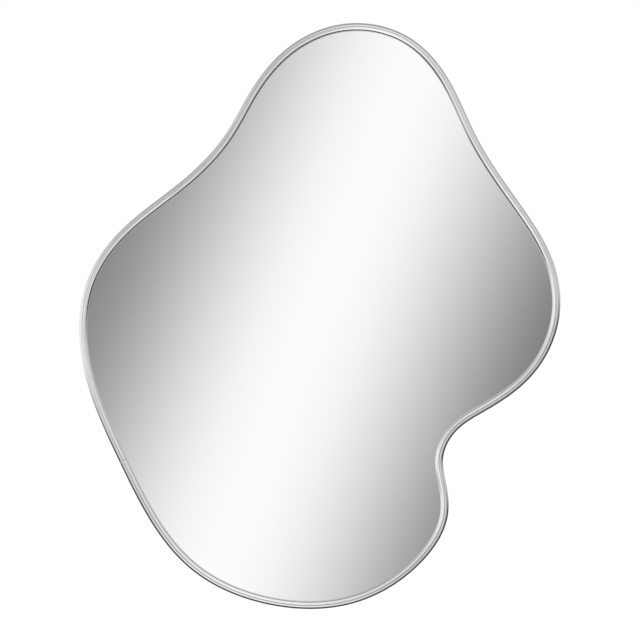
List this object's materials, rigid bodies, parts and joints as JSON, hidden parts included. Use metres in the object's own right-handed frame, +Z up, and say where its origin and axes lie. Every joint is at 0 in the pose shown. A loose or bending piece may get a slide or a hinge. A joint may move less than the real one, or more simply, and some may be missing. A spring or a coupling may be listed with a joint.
{
  "type": "wall mirror",
  "caption": "Wall mirror with an irregular, pebble-like outline: a silvered pane in a slim bent polished-metal rail, with backing board, retaining clips, D-ring hangers and bumpers.",
  "frame": {"origin": "centre of the bounding box: the middle of the outline's width and height and of the overall depth, bumpers included", "axes": "+X to the viewer's right, +Y from the glass towards the wall, +Z up as the mirror hangs"},
  "size_m": [0.6979, 0.0254, 0.8499],
  "materials": {
    "polished_metal": "polished bright silver",
    "silvered_glass": "clear silvered mirror",
    "safety_film": "matt",
    "foam_tape": "foam",
    "backing_board": "sanded medium-density fibreboard",
    "zinc_steel": "zinc plated",
    "bumper_rubber": "matt moulded"
  },
  "bodies": {
    "mirror": {"frame_rail": "polished_metal", "mirror_glass": "silvered_glass", "safety_film": "safety_film", "glazing_tape": "foam_tape", "mounting_tape_1": "foam_tape", "mounting_tape_2": "foam_tape", "mounting_tape_3": "foam_tape", "mounting_tape_4": "foam_tape", "mounting_tape_5": "foam_tape", "backing_board": "backing_board", "seam_joiner": "zinc_steel", "joiner_screw_1": "zinc_steel", "joiner_screw_2": "zinc_steel", "retaining_clip_1": "zinc_steel", "retaining_clip_2": "zinc_steel", "retaining_clip_3": "zinc_steel", "retaining_clip_4": "zinc_steel", "retaining_clip_5": "zinc_steel", "retaining_clip_6": "zinc_steel", "retaining_clip_7": "zinc_steel", "retaining_clip_8": "zinc_steel", "retaining_clip_9": "zinc_steel", "retaining_clip_10": "zinc_steel", "clip_screw_1": "zinc_steel", "clip_screw_2": "zinc_steel", "clip_screw_3": "zinc_steel", "clip_screw_4": "zinc_steel", "clip_screw_5": "zinc_steel", "clip_screw_6": "zinc_steel", "clip_screw_7": "zinc_steel", "clip_screw_8": "zinc_steel", "clip_screw_9": "zinc_steel", "clip_screw_10": "zinc_steel", "hanger_strap_left": "zinc_steel", "hanger_strap_right": "zinc_steel", "hanger_screw_left_1": "zinc_steel", "hanger_screw_left_2": "zinc_steel", "hanger_screw_right_1": "zinc_steel", "hanger_screw_right_2": "zinc_steel", "wall_bumper_upper_left": "bumper_rubber", "wall_bumper_upper_right": "bumper_rubber", "wall_bumper_lower_left": "bumper_rubber", "wall_bumper_lower_right": "bumper_rubber"},
    "ring_left": {"hanger_ring_left": "zinc_steel"},
    "ring_right": {"hanger_ring_right": "zinc_steel"}
  },
  "joints": [
    {"name": "ring_left_swing", "type": "hinge", "parent": "mirror", "child": "ring_left", "pos_m": [-0.154, 0.00705, 0.15], "axis": [-1, 0, 0], "range_deg": [0, 175]},
    {"name": "ring_right_swing", "type": "hinge", "parent": "mirror", "child": "ring_right", "pos_m": [0.146, 0.00705, 0.15], "axis": [-1, 0, 0], "range_deg": [0, 175]}
  ]
}
